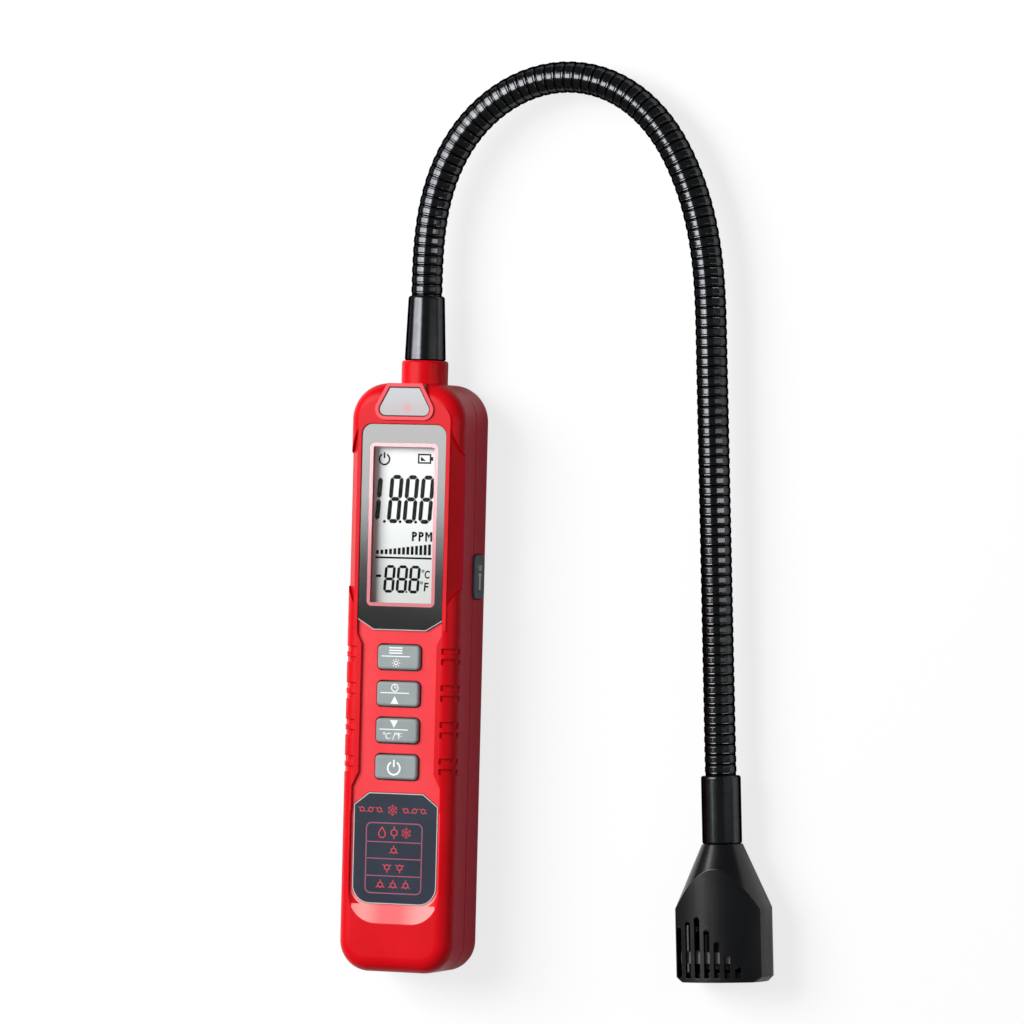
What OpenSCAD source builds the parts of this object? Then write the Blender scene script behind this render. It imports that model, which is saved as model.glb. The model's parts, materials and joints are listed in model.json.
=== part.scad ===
// Refrigerant leak detector: a handheld body with a display, four keys and a side button,
// a bendable neck of nested beads, and a slotted sensor head.
// Millimetres. It lies on its back: +X is right, +Y runs from the base to the neck, +Z is the front.
// The origin is the centre of the back face.

/* [Body] */
// Width of the body
body_w = 39; // [38:0.5:46]
// Length of the body without its collar
body_l = 191; // [186:1:215]
// Depth of the body
body_d = 29.5; // [29:0.5:36]
// Thickness of the side, back and end walls
wall = 2; // [1.6:0.1:2.4]
// Thickness of the front wall, with its recesses
front_wall = 3.5; // [3.2:0.1:4]
// Radius of the lower corners of the outline
plan_r = 10; // [9:0.5:12]
// Radius of the upper corners of the outline
top_r = 12; // [9:0.5:12]
// Rounding of the long and end edges
edge_r = 5; // [4:0.25:5.5]
// Radius of the collar
collar_r = 7.6; // [7.4:0.1:9]
// Height of the collar over the body
collar_h = 7.8; // [6:0.1:12]
// Seam groove between the shells
seam = 0.35; // [0.2:0.05:0.5]

/* [Display] */
// Width of the lens
lens_w = 29.1; // [28:0.1:30]
// Length of the lens
lens_l = 66.6; // [60:0.2:70]
// Thickness of the lens
lens_t = 1.5; // [1:0.1:1.8]
// Distance from the top of the body to the lens
lens_top = 13.3; // [12.8:0.1:14.4]
// How far the lens lies under the frame
lens_sink = 0.3; // [0.1:0.05:0.5]
// Radius of the upper lens corners
lens_r = 3.5; // [2:0.25:5]
// Width of the cut lower lens corners
lens_cut = 5.5; // [3:0.25:7]
// Ledge that carries the lens
lens_ledge = 2.6; // [2:0.1:3.4]
// Width of the LCD glass
lcd_w = 26.4; // [25:0.2:27]
// Thickness of the LCD glass
lcd_t = 2.6; // [2:0.1:3]
// Width of the raised frame on each side of the lens
frame_rim = 1.4; // [1:0.05:1.8]

/* [Indicator window] */
// Half width of the window at its top
badge_top = 5.2; // [4.6:0.1:6]
// Half width of the window at its widest
badge_mid = 8.8; // [8.4:0.1:9.4]
// Height of the window
badge_h = 9.4; // [8.6:0.1:9.5]
// Width of the raised surround
badge_rim = 1.3; // [1:0.05:1.4]
// Radius of the window's lower corners
badge_r = 2.2; // [1.5:0.1:3]
// Rise of the surround over the front
badge_rise = 0.6; // [0.3:0.1:1]
// Thickness of the window
badge_t = 1.2; // [0.8:0.1:1.4]

/* [Keys] */
// Width of a key
key_w = 14.6; // [13:0.2:16]
// Height of a key
key_h = 7.9; // [7:0.1:8.4]
// Distance from key to key
key_pitch = 11.85; // [11.5:0.05:12.2]
// Distance from the lens to the middle of the first key
key_first = 8.9; // [8.6:0.1:10]
// Rise of a key over the recessed panel
key_rise = 1.4; // [1:0.1:2]
// Travel of a key
key_travel = 0.8; // [0.4:0.1:0.9]
// Gap round a key
key_gap = 0.45; // [0.3:0.05:0.6]
// Corner radius of a key, seen from the front
key_r = 1.4; // [1.1:0.1:2.5]
// Radius of a key's front edges
key_edge = 0.8; // [0.3:0.1:1]
// Depth of the recessed panel
panel_step = 1; // [0.6:0.1:1.1]
// Half width of the recessed panel beside the keys
waist = 13; // [12.2:0.1:13.8]
// Depth of a grip notch
notch_depth = 0.6; // [0.4:0.1:1]

/* [Info panel] */
// Width of the panel
info_w = 29.1; // [28:0.1:30]
// Length of the panel
info_l = 36; // [30:0.5:37]
// Distance from the base to the panel
info_base = 22.2; // [20:0.2:24]
// Thickness of the panel
info_t = 0.6; // [0.4:0.05:0.8]
// Width of the bevel under the panel
bevel_w = 6; // [3:0.5:7]

/* [Side button] */
// Length of the button
side_l = 14.4; // [12:0.2:18]
// Width of the button
side_w = 9.4; // [8:0.2:9.8]
// Distance from the top of the body to the middle of the button
side_top = 62.2; // [56:0.2:66]
// Rise of the button over the wall
side_rise = 0.8; // [0.5:0.1:1.2]
// Travel of the button
side_travel = 0.6; // [0.3:0.1:0.7]
// Corner radius of the side button, seen from the side
side_r = 2; // [1.2:0.1:3]
// Radius of the side button's outer edges
side_edge = 0.6; // [0.3:0.1:0.9]

/* [Battery] */
// Diameter of a cell
cell_d = 10.5; // [10:0.1:10.6]
// Length of a cell
cell_l = 44.5; // [43:0.1:46]
// Thickness of the battery cover
cover_t = 2; // [1.6:0.1:2.2]
// Room for a contact spring
spring_l = 4; // [3:0.25:5]

/* [Neck] */
// Diameter of a bead
bead_d = 10.2; // [9.8:0.1:11]
// Distance from bead to bead
bead_pitch = 3.19; // [3.1:0.01:3.4]
// Groove between two beads
bead_gap = 0.92; // [0.85:0.01:1]
// Radius of the ball that nests in the next bead
ball_r = 4.2; // [4:0.05:4.3]
// Height of the neck's axis over the back
neck_z = 12; // [12:0.1:14.7]
// Straight length before the bend
bend_start = 1.2; // [0:0.2:10]
// Turn of the main bend, in degrees
bend_turn = 120; // [105:1:130]
// Length of the main bend along the neck
bend_l = 146.3; // [135:0.1:165]
// Turn that the neck eases through after the middle of the bend, in degrees
ease_turn = 57.3; // [45:0.1:65]
// Length of that easing
ease_l = 130.4; // [120:0.1:150]
// Length of the lower ferrule
ferrule_l = 21.1; // [16:0.1:26]
// Lower radius of the lower ferrule
ferrule_r = 6.7; // [6.4:0.1:7.3]
// Length of the upper ferrule
probe_ferrule_l = 22; // [16:0.1:26]
// Radius of the upper ferrule
probe_ferrule_r = 6.4; // [6:0.1:7]

/* [Head] */
// Width of the head
head_w = 31.2; // [30:0.1:36]
// Thickness of the head
head_t = 20; // [19.5:0.5:24]
// Length of the head
head_l = 44; // [42:0.5:52]
// Length of its cone
cone_l = 20.5; // [19:0.5:24]
// Curve of its two faces
face_r = 29; // [25:1:40]
// Wall of the head
head_wall = 1.6; // [1.2:0.1:1.8]
// Number of slots
slot_n = 7; // [5:1:8]
// Width of a slot
slot_w = 1.9; // [1.2:0.1:2]
// Distance from slot to slot
slot_pitch = 3.4; // [3:0.1:3.6]
// Height of the tallest slot
slot_h = 20; // [16:0.2:21]
// Diameter of the sensor base
sensor_d = 15; // [13:0.2:15.2]

/* [Fits] */
// Gap round a seated plate
fit = 0.1; // [0.05:0.05:0.2]
// Gap round a sliding piece
slide = 0.2; // [0.15:0.05:0.3]
// Gap between a ball and its socket
ball_gap = 0.15; // [0.1:0.01:0.2]

/* [Hidden] */
$fn = 96;
red = [0.85, 0.07, 0.12];
black = [0.05, 0.05, 0.06];
dark = [0.2, 0.22, 0.26];
grey = [0.62, 0.65, 0.65];
steel = [0.75, 0.75, 0.77];

over = 1;
base_y = -body_l / 2;
top_y = body_l / 2;
split_z = body_d / 2;
ceil_z = body_d - front_wall;
panel_z = body_d - panel_step;
in_w = body_w / 2 - wall;

lens_hi = top_y - lens_top;
lens_lo = lens_hi - lens_l;
lens_z = body_d - lens_sink - lens_t;
lens_cut_l = lens_cut * 0.6;
frame_x = lens_w / 2 + fit + frame_rim;
frame_r = plan_r - edge_r + 1.5;
notch_x = waist + 1.8;
facet_lo = lens_lo + 8;
facet_hi = lens_hi - 1;

badge_lo = top_y - badge_rim - badge_h;
badge_z = body_d + badge_rise - 0.2 - badge_t;
led_r = 1.5;
led_y = badge_lo + led_r + 0.5;

lip = 1.2;
flange_t = 1.2;
flange_z = ceil_z - fit - flange_t;
pcb_t = 1.6;
pcb_z = split_z + 2.65;
pcb_top = pcb_z + pcb_t;
switch_h = 2.2;
stem_z = pcb_top + switch_h + 0.5 + key_travel + fit;
notch_w = 1.8;
notch_step = 3.4;

info_lo = base_y + info_base;
info_hi = info_lo + info_l;
info_z = panel_z - info_t + 0.15;

side_y = top_y - side_top;
side_z = split_z - 4.3;

cell_pitch = cell_d + 0.3;
cell_z = cover_t + 0.4 + cell_d / 2;
bay_lo = base_y + plan_r - 2.5;
bay_wall = 1.5;
bay_hi = bay_lo + 0.5 + spring_l + cell_l + 0.5 + fit;
cover_hi = bay_hi + 3.5;
cover_x = cell_pitch + cell_d / 2 + 0.5;
roof_z = cover_t + 0.4 + cell_d + 0.3;
roof_t = 1.3;
tongue = 1;
tongue_z = cover_t + slide;
tongue_t = 0.8;

screw_r = 1.15;
screw_head_r = 2.6;
screw_seat = 6;
screw_l = ceil_z - 2.5 - screw_seat;
boss_r = 2.9;
screw_y = [lens_hi + 1.3, cover_hi + 5.5];
screw_x = in_w - 4.1;

bead_r = bead_d / 2;
beads_per_link = 6;
link_n = 18;
bead_n = beads_per_link * link_n;
bead_edge = 0.45;
skirt = 1.5;
lead_r = 1.8;
shank_r = 5.3;
nut_t = 3;
neck_y = top_y + collar_h + ferrule_l + bead_gap / 2;
run_l = bead_n * bead_pitch + bead_gap / 2 + probe_ferrule_l + head_l;
slope = asin((neck_z - head_t / 2 - 0.02) / run_l);

ring_z = 6;
slot_rim = 1.4;
ring_t = 3.6;
cap_t = 2;

function smooth(t) = let (u = min(1, max(0, t))) u * u * (3 - 2 * u);
function heading(k) = let (s = (k + 0.5) * bead_pitch - bend_start)
    90 - bend_turn * smooth(s / bend_l) - ease_turn * smooth((s - bend_l / 2) / ease_l);
function along(k) = let (h = heading(k))
    [cos(h) * cos(slope), sin(h) * cos(slope), -sin(slope)];
function key_y(i) = lens_lo - key_first - i * key_pitch;
function link_name(i) = str("neck_link_", i < 10 ? "0" : "", i);
function slot_tall(i) = slot_h - (i < 2 ? 1.5 * (2 - i) : 4 * (i - 2));

// Centre of every ball from the lower ferrule to the upper one
pivots = [for (k = 0, p = [0, neck_y, neck_z]; k <= bead_n; p = p + bead_pitch * along(k), k = k + 1) p];

// Rectangle with round corners, about its middle
module rounded(w, l, r) {
    square([w - 2 * r, l], center = true);
    square([w, l - 2 * r], center = true);
    for (x = [-1, 1], y = [-1, 1])
        translate([x * (w / 2 - r), y * (l / 2 - r)]) circle(r);
}

// Cross-section that stands on its lower edge, with all four corners round
module section(w, d, r) {
    translate([0, d / 2]) rounded(w, d, r);
}

// Half of that cross-section, from the middle outwards, for the round corners of the body
module half_section(w, d, r) {
    intersection() {
        section(2 * w, d, r);
        square([w, d]);
    }
}

module along_y(l) {
    rotate([90, 0, 0]) linear_extrude(l, center = true) children();
}

module along_x(l) {
    rotate([90, 0, 90]) linear_extrude(l, center = true) children();
}

// Box with round edges and larger round corners in plan, lower ones of radius rp and upper ones of radius rt
module pebble(w, l, z0, z1, rp, rt, re) {
    translate([0, 0, z0]) {
        translate([0, (rp - rt) / 2, 0]) along_y(l - rp - rt) section(w, z1 - z0, re);
        for (y = [-1, 1]) {
            r = y > 0 ? rt : rp;
            intersection() {
                along_x(w - 2 * r) section(l, z1 - z0, re);
                translate([-w / 2, y > 0 ? l / 2 - r : -l / 2, 0]) cube([w, r, z1 - z0]);
            }
            for (x = [-1, 1])
                translate([x * (w / 2 - r), y * (l / 2 - r), 0])
                    rotate([0, 0, x > 0 ? (y > 0 ? 0 : 270) : (y > 0 ? 90 : 180)])
                        rotate_extrude(angle = 90) half_section(r, z1 - z0, re);
        }
    }
}

// Outline of the body, moved inwards
module plan(in) {
    w = body_w / 2 - in;
    l = body_l / 2 - in;
    translate([-w, plan_r - in - l]) square([2 * w, 2 * l - plan_r - top_r + 2 * in]);
    translate([plan_r - in - w, -l]) square([2 * (w - plan_r + in), l]);
    translate([top_r - in - w, 0]) square([2 * (w - top_r + in), l]);
    for (x = [-1, 1]) {
        translate([x * (w - plan_r + in), plan_r - in - l]) circle(plan_r - in);
        translate([x * (w - top_r + in), l - top_r + in]) circle(top_r - in);
    }
}

module outside() {
    pebble(body_w, body_l, 0, body_d, plan_r, top_r, edge_r);
}

module inside() {
    pebble(2 * in_w, body_l - 2 * wall, wall, ceil_z, plan_r - wall, top_r - wall, edge_r - wall);
}

module front_half() {
    translate([-body_w, -body_l, split_z]) cube([2 * body_w, 2 * body_l, body_d]);
}

module back_half() {
    translate([-body_w, -body_l, split_z - body_d]) cube([2 * body_w, 2 * body_l, body_d]);
}

// Piece of revolution on the axis of the collar, from a profile drawn upwards
module on_collar() {
    translate([0, top_y, neck_z]) rotate([-90, 0, 0]) rotate_extrude() children();
}

module collar() {
    on_collar() {
        translate([0, -wall]) square([collar_r, wall + collar_h - 1]);
        translate([0, collar_h - 1.5]) square([collar_r - 1, 1.5]);
        translate([collar_r - 1, collar_h - 1]) circle(1);
    }
}

module collar_bore() {
    translate([0, top_y - wall - over, neck_z]) rotate([-90, 0, 0])
        cylinder(r = shank_r + fit, h = wall + collar_h + 2 * over);
}

module lens_outline(grow) {
    w = lens_w / 2 + grow;
    lo = lens_lo - grow;
    hi = lens_hi + grow;
    polygon([[lens_cut - w, lo], [w - lens_cut, lo], [w, lo + lens_cut_l], [w, hi - lens_r],
             [w - lens_r, hi - lens_r], [w - lens_r, hi], [lens_r - w, hi], [lens_r - w, hi - lens_r],
             [-w, hi - lens_r], [-w, lo + lens_cut_l]]);
    for (x = [-1, 1])
        translate([x * (w - lens_r), hi - lens_r]) circle(lens_r);
}

// Outline with round lower corners and sides that lean in from them to the top
module badge_outline(grow) {
    r = badge_r + grow;
    hi = badge_lo + badge_h + grow;
    c = [badge_mid - badge_r, badge_lo + badge_r];
    d = [badge_top, badge_lo + badge_h] - c;
    lean = atan2(d.y, d.x) - acos(badge_r / norm(d));
    n = [cos(lean), sin(lean)];
    side = c + r * n;
    top_x = (c * n + r - hi * n.y) / n.x;
    polygon([[-c.x, c.y - r], [c.x, c.y - r], c, side, [top_x, hi], [-top_x, hi], [-side.x, side.y], [-c.x, c.y]]);
    for (x = [-1, 1])
        translate([x * c.x, c.y]) circle(r);
}

module info_outline(grow) {
    w = info_w / 2 + grow;
    lo = info_lo - grow;
    hi = info_hi + grow;
    r = 6 + grow;
    polygon([[w, lo + r], [w, hi - 4], [w - 5.2, hi], [5.2 - w, hi], [-w, hi - 4], [-w, lo + r],
             [r - w, lo + r], [r - w, lo], [w - r, lo], [w - r, lo + r]]);
    for (x = [-1, 1])
        translate([x * (w - r), lo + r]) circle(r);
}

// Frame that stays flat round the lens up to its round upper corners
module frame_plan() {
    hi = top_y - edge_r - 0.8;
    translate([-frame_x, lens_lo]) square([2 * frame_x, hi - frame_r - lens_lo]);
    translate([frame_r - frame_x, lens_lo]) square([2 * (frame_x - frame_r), hi - lens_lo]);
    for (x = [-1, 1])
        translate([x * (frame_x - frame_r), hi - frame_r]) circle(frame_r);
}

// Flat cut on each shoulder beside the lens
module facets() {
    x0 = frame_x - 0.05;
    x1 = body_w / 2 + over;
    drop = (x1 - x0) * 1.42;
    for (s = [0, 1])
        mirror([s, 0, 0])
            intersection() {
                translate([0, (facet_lo + facet_hi) / 2, 0]) along_y(facet_hi - facet_lo + over)
                    polygon([[x0, body_d - 0.25], [x1, body_d - 0.25 - drop], [x1 + 3, body_d + 3], [x0, body_d + 3]]);
                translate([0, 0, split_z]) linear_extrude(body_d)
                    polygon([[x0 - over, facet_lo - 2], [x1, facet_lo + 7.6], [x1, facet_hi - 11],
                             [x0 - over, facet_hi + 2]]);
            }
}

module panel_recess() {
    top_x = lens_w / 2 + fit;
    low_x = info_w / 2 + 0.7;
    turn_y = key_y(0) + key_h / 2 + 0.2;
    wide_y = key_y(3) - key_h / 2 + 2;
    translate([0, 0, panel_z]) linear_extrude(front_wall)
        polygon([[top_x, lens_lo + lens_cut_l], [top_x, turn_y + 3.4], [waist, turn_y], [waist, wide_y],
                 [low_x, wide_y - 4.6], [low_x, info_lo + 12], [-low_x, info_lo + 12], [-low_x, wide_y - 4.6],
                 [-waist, wide_y], [-waist, turn_y], [-top_x, turn_y + 3.4], [-top_x, lens_lo + lens_cut_l]]);
    hull() {
        translate([0, 0, panel_z]) linear_extrude(0.01) bevel_plan(low_x, info_lo - 0.5, 6.7);
        translate([0, 0, body_d]) linear_extrude(over)
            bevel_plan(low_x + 0.3, info_lo - 0.5 - bevel_w, 9.5);
    }
}

module bevel_plan(x, lo, r) {
    hi = info_hi - 6;
    translate([-x, lo + r]) square([2 * x, hi - lo - r]);
    for (s = [-1, 1])
        translate([s * (x - r), lo + r]) circle(r, $fn = 40);
}

// Pairs of small grip notches beside each key, cut to an even depth round the shoulder
module grip_notches() {
    difference() {
        for (i = [0:3], s = [-1, 1], j = [-1, 1])
            translate([s * notch_x, key_y(i) + 0.6 + j * notch_step / 2 - notch_w / 2, body_d - edge_r])
                mirror([s < 0 ? 1 : 0, 0, 0]) cube([body_w, notch_w, body_d]);
        translate([0, 0, notch_depth])
            along_y(body_l) section(body_w - 2 * notch_depth, body_d - 2 * notch_depth, edge_r - notch_depth);
    }
}

module key_openings() {
    for (i = [0:3])
        translate([0, key_y(i), ceil_z - over]) linear_extrude(front_wall + 2 * over)
            rounded(key_w + 2 * key_gap, key_h + 2 * key_gap, key_r + key_gap);
}

module side_opening() {
    translate([body_w / 2, side_y, side_z]) along_x(3 * wall)
        rounded(side_l + 2 * slide, side_w + 2 * slide, side_r + slide);
}

module at_screws() {
    for (x = [-1, 1], y = screw_y)
        translate([x * screw_x, y, 0]) children();
}

module front_shell() {
    color(red)
    difference() {
        union() {
            difference() {
                union() {
                    intersection() {
                        outside();
                        front_half();
                    }
                    intersection() {
                        collar();
                        front_half();
                    }
                    translate([0, 0, ceil_z - over]) linear_extrude(front_wall + over) frame_plan();
                    translate([0, 0, ceil_z - over]) linear_extrude(front_wall + over + badge_rise)
                        badge_outline(badge_rim);
                }
                inside();
            }
            at_screws() translate([0, 0, pcb_top]) cylinder(r = boss_r, h = ceil_z - pcb_top + 0.5);
        }
        translate([0, 0, lens_z]) linear_extrude(body_d) lens_outline(fit);
        translate([0, (lens_lo + lens_hi) / 2 + 1, ceil_z - over]) linear_extrude(front_wall)
            rounded(lens_w - 2 * lens_ledge, lens_l - 2 * lens_ledge - 2, 1.5);
        translate([0, 0, badge_z]) linear_extrude(body_d) badge_outline(fit);
        translate([0, led_y, ceil_z - over]) cylinder(r = led_r + 0.2, h = body_d);
        panel_recess();
        translate([0, 0, info_z]) linear_extrude(body_d) info_outline(fit);
        key_openings();
        grip_notches();
        facets();
        at_screws() cylinder(r = screw_r + 0.05, h = screw_seat + screw_l + 0.5);
        collar_bore();
        side_opening();
        translate([0, 0, split_z - over]) linear_extrude(over + seam)
            difference() {
                square([body_w + 2, body_l + 2], center = true);
                plan(seam);
                square([2 * collar_r, body_l + 4], center = true);
            }
    }
}

// Room for the battery cover: its plate, and its tongues above the lip of the shell
module cover_room() {
    x = cover_x + slide;
    lo = base_y - over;
    long = cover_hi + slide - lo;
    translate([-x, lo, -over]) cube([2 * x, long, cover_t + slide + over]);
    for (s = [-1, 1])
        translate([s * cover_x - tongue - slide, lo, cover_t])
            cube([2 * (tongue + slide), long, tongue_z + tongue_t + slide - cover_t]);
}

module back_shell() {
    color(red)
    difference() {
        union() {
            difference() {
                union() {
                    intersection() {
                        outside();
                        back_half();
                    }
                    intersection() {
                        collar();
                        back_half();
                    }
                }
                inside();
            }
            intersection() {
                union() {
                    at_screws() {
                        cylinder(r = 4.2, h = screw_seat + 1.6);
                        cylinder(r = boss_r, h = pcb_z);
                    }
                    for (y = [bay_lo - bay_wall, bay_hi])
                        translate([-in_w - 0.5, y, wall / 2]) cube([2 * in_w + 1, bay_wall, roof_z - wall / 2 + 0.5]);
                    translate([-in_w - 0.5, bay_lo - bay_wall, roof_z])
                        cube([2 * in_w + 1, bay_hi - bay_lo + 2 * bay_wall, roof_t]);
                }
                pebble(body_w - 1, body_l - 1, 0.5, body_d, plan_r - 0.5, top_r - 0.5, edge_r - 0.5);
            }
        }
        cover_room();
        at_screws() {
            translate([0, 0, -over]) cylinder(r = screw_head_r + 0.3, h = screw_seat + over);
            cylinder(r = screw_r + 0.3, h = body_d);
        }
        collar_bore();
        side_opening();
    }
}

module battery_cover() {
    color(red)
    difference() {
        intersection() {
            outside();
            union() {
                translate([-cover_x, base_y - over, 0]) cube([2 * cover_x, cover_hi - base_y + over, cover_t]);
                for (s = [-1, 1]) {
                    translate([s * cover_x - tongue, bay_lo - bay_wall, tongue_z])
                        cube([2 * tongue, cover_hi - bay_lo + bay_wall, tongue_t]);
                    translate([s * (cover_x - tongue / 2) - tongue / 2, bay_lo - bay_wall, cover_t - over])
                        cube([tongue, cover_hi - bay_lo + bay_wall, over + slide + tongue_t / 2]);
                }
            }
        }
        for (i = [0:5])
            translate([0, cover_hi - 7 - 2.2 * i, 0]) rotate([0, 90, 0])
                cylinder(r = 0.7, h = 16 - 1.6 * i, center = true);
    }
}

module casing_screws() {
    color(steel)
    at_screws()
        difference() {
            union() {
                translate([0, 0, screw_seat - 1.8]) cylinder(r = screw_head_r, h = 1.8);
                translate([0, 0, screw_seat - over]) cylinder(r = screw_r, h = screw_l + over);
            }
            for (a = [0, 90])
                rotate([0, 0, a]) translate([-1.7, -0.4, 0]) cube([3.4, 0.8, screw_seat - 0.9]);
        }
}

module display_lens() {
    color(black)
    translate([0, 0, lens_z]) linear_extrude(lens_t) lens_outline(0);
}

lcd_lo = lens_lo + lens_ledge + 1.6;
lcd_hi = lens_hi - lens_ledge + 0.8;
lcd_z = ceil_z - fit - lcd_t;

module lcd_glass() {
    color([0.85, 0.87, 0.88])
    translate([-lcd_w / 2, lcd_lo, lcd_z]) cube([lcd_w, lcd_hi - lcd_lo, lcd_t]);
}

module lcd_holder() {
    color([0.9, 0.9, 0.9])
    difference() {
        translate([-lcd_w / 2 - lip, lcd_lo - lip, pcb_top])
            cube([lcd_w + 2 * lip, lcd_hi - lcd_lo + 2 * lip, lcd_z + 1.2 - pcb_top]);
        translate([-lcd_w / 2 - fit, lcd_lo - fit, lcd_z])
            cube([lcd_w + 2 * fit, lcd_hi - lcd_lo + 2 * fit, lcd_t]);
        translate([-lcd_w / 2 + lip, lcd_lo + lip, pcb_top - over])
            cube([lcd_w - 2 * lip, lcd_hi - lcd_lo - 2 * lip, lcd_z - pcb_top - 1]);
        at_screws() cylinder(r = boss_r + slide, h = body_d);
    }
}

module indicator_window() {
    color([0.8, 0.8, 0.82])
    translate([0, 0, badge_z]) linear_extrude(badge_t) badge_outline(0);
}

module alarm_lamp() {
    color([0.9, 0.3, 0.2])
    translate([0, led_y, pcb_top]) {
        cylinder(r = led_r + 0.4, h = 1);
        cylinder(r = led_r, h = ceil_z - pcb_top - led_r + 1);
        translate([0, 0, ceil_z - pcb_top - led_r + 1]) sphere(led_r);
    }
}

module info_panel() {
    color(dark)
    translate([0, 0, info_z]) linear_extrude(info_t) info_outline(0);
}

module main_board() {
    color([0.05, 0.35, 0.2])
    difference() {
        translate([0, 0, pcb_z]) linear_extrude(pcb_t)
            intersection() {
                translate([-in_w + 1.2, base_y + 9]) square([2 * in_w - 2.4, led_y + led_r + 0.4 - base_y - 9]);
                plan(wall + 0.5);
            }
        at_screws() cylinder(r = screw_r + 0.3, h = body_d);
    }
}

// Key cap on a retaining flange, with a stem over its switch
module key(i) {
    color(grey)
    translate([0, key_y(i), 0]) {
        pebble(key_w, key_h, flange_z, panel_z + key_rise, key_r, key_r, key_edge);
        translate([0, 0, flange_z]) linear_extrude(flange_t)
            rounded(key_w + 2 * lip, key_h + 2 * lip, key_r + lip / 2);
        translate([0, 0, stem_z]) cylinder(r = 1.6, h = flange_z - stem_z + 0.5);
    }
}

module key_switches() {
    color(steel)
    for (i = [0:3])
        translate([0, key_y(i), pcb_top]) {
            translate([-3, -3, 0]) cube([6, 6, switch_h]);
            cylinder(r = 1.7, h = switch_h + 0.5);
        }
}

side_in = in_w - fit - flange_t;
side_lip = 1.1;

module side_button() {
    color(dark)
    translate([0, side_y, side_z]) {
        rotate([90, 0, 90]) pebble(side_l, side_w, side_in, body_w / 2 + side_rise, side_r, side_r, side_edge);
        translate([side_in + flange_t / 2, 0, 0]) along_x(flange_t)
            rounded(side_l + 2 * side_lip, side_w + 2 * side_lip, side_r);
    }
}

module side_switch() {
    color(steel)
    translate([side_in - side_travel - fit, side_y, side_z]) {
        translate([-5, -3, -2.4]) cube([4.4, 6, pcb_z - side_z + 2.4]);
        translate([-1, 0, 0]) rotate([0, 90, 0]) cylinder(r = 1.5, h = 1);
    }
}

module buzzer() {
    color(black)
    translate([0, lens_hi - 20, pcb_z - 6])
        difference() {
            cylinder(r = 6, h = 6);
            translate([0, 0, -over]) cylinder(r = 1, h = 2);
        }
}

// One cell with its nub towards +Y or, turned, towards -Y
module battery_cell(i) {
    color([0.15, 0.3, 0.6])
    translate([(i - 2) * cell_pitch, (bay_lo + bay_hi) / 2, cell_z])
        rotate([0, 0, i == 2 ? 180 : 0])
            translate([0, (bay_lo - bay_hi) / 2 + 0.5 + spring_l, 0]) rotate([-90, 0, 0]) {
                cylinder(d = cell_d, h = cell_l - 0.8);
                cylinder(d = 3.8, h = cell_l);
            }
}

module at_contacts(turned) {
    for (i = [1:3])
        translate([(i - 2) * cell_pitch, (bay_lo + bay_hi) / 2, cell_z])
            rotate([0, 0, (i == 2 ? 180 : 0) + turned]) translate([0, (bay_lo - bay_hi) / 2, 0]) children();
}

// Leaf springs, bowed towards the flat end of each cell
module contact_springs() {
    reach = spring_l + 0.4;
    bow = (16 + reach * reach) / (2 * reach);
    color(steel)
    at_contacts(0) {
        translate([-4.5, 0, -4]) cube([9, 0.5, 8]);
        linear_extrude(5, center = true)
            intersection() {
                translate([0, reach - bow])
                    difference() {
                        circle(bow);
                        circle(bow - 0.4);
                    }
                translate([-6, 0.3]) square([12, reach]);
            }
    }
}

module contact_plates() {
    color(steel)
    at_contacts(180) translate([-4.5, 0, -4]) cube([9, 0.5, 8]);
}

// Lower ferrule: its shank is held in the collar by the nut, its end takes the first ball
module neck_ferrule() {
    end = collar_h + ferrule_l;
    color(black)
    on_collar()
        difference() {
            union() {
                translate([0, -wall - nut_t - 0.4]) square([shank_r, wall + nut_t + collar_h + 1]);
                polygon([[0, collar_h], [ferrule_r - 0.4, collar_h], [ferrule_r, collar_h + 0.4],
                         [ferrule_r - 0.75, end - 1], [ferrule_r - 1.75, end], [0, end]]);
                translate([ferrule_r - 1.75, end - 1]) circle(1);
            }
            intersection() {
                translate([0, end + bead_gap / 2]) circle(ball_r + ball_gap);
                translate([0, end + bead_gap / 2 - skirt - 0.75]) square([bead_d, bead_d]);
            }
            translate([0, -wall - nut_t - over]) square([lead_r, end + 2 * nut_t + 2 * over]);
        }
}

module neck_nut() {
    color(steel)
    translate([0, top_y - wall - nut_t, neck_z]) rotate([-90, 0, 0])
        difference() {
            cylinder(r = 7.4, h = nut_t, $fn = 6);
            translate([0, 0, -over]) cylinder(r = shank_r + 0.05, h = nut_t + 2 * over);
        }
}

// Half profile of a bead: a rounded rib, a ball below it and a socket in its top
module bead_profile() {
    lo = bead_gap / 2;
    hi = bead_pitch - bead_gap / 2;
    difference() {
        union() {
            translate([0, lo]) square([bead_r - bead_edge, hi - lo]);
            translate([0, lo + bead_edge]) square([bead_r, hi - lo - 2 * bead_edge]);
            for (z = [lo + bead_edge, hi - bead_edge])
                translate([bead_r - bead_edge, z]) circle(bead_edge);
            ball_profile(lo + 0.1);
        }
        intersection() {
            translate([0, bead_pitch]) circle(ball_r + ball_gap);
            translate([0, bead_pitch - skirt - 0.75]) square([bead_d, bead_d]);
        }
        translate([0, -bead_pitch]) square([lead_r, 3 * bead_pitch]);
    }
}

module ball_profile(top) {
    intersection() {
        circle(ball_r);
        translate([0, -skirt]) square([bead_d, skirt + top]);
    }
}

// Places what is drawn upwards from a ball's centre onto the neck
module on_neck(k) {
    translate(pivots[k]) rotate([0, 90 + slope, heading(k)]) children();
}

module neck_link(i) {
    color(black)
    for (k = [(i - 1) * beads_per_link : i * beads_per_link - 1])
        on_neck(k) rotate_extrude() bead_profile();
}

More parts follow.
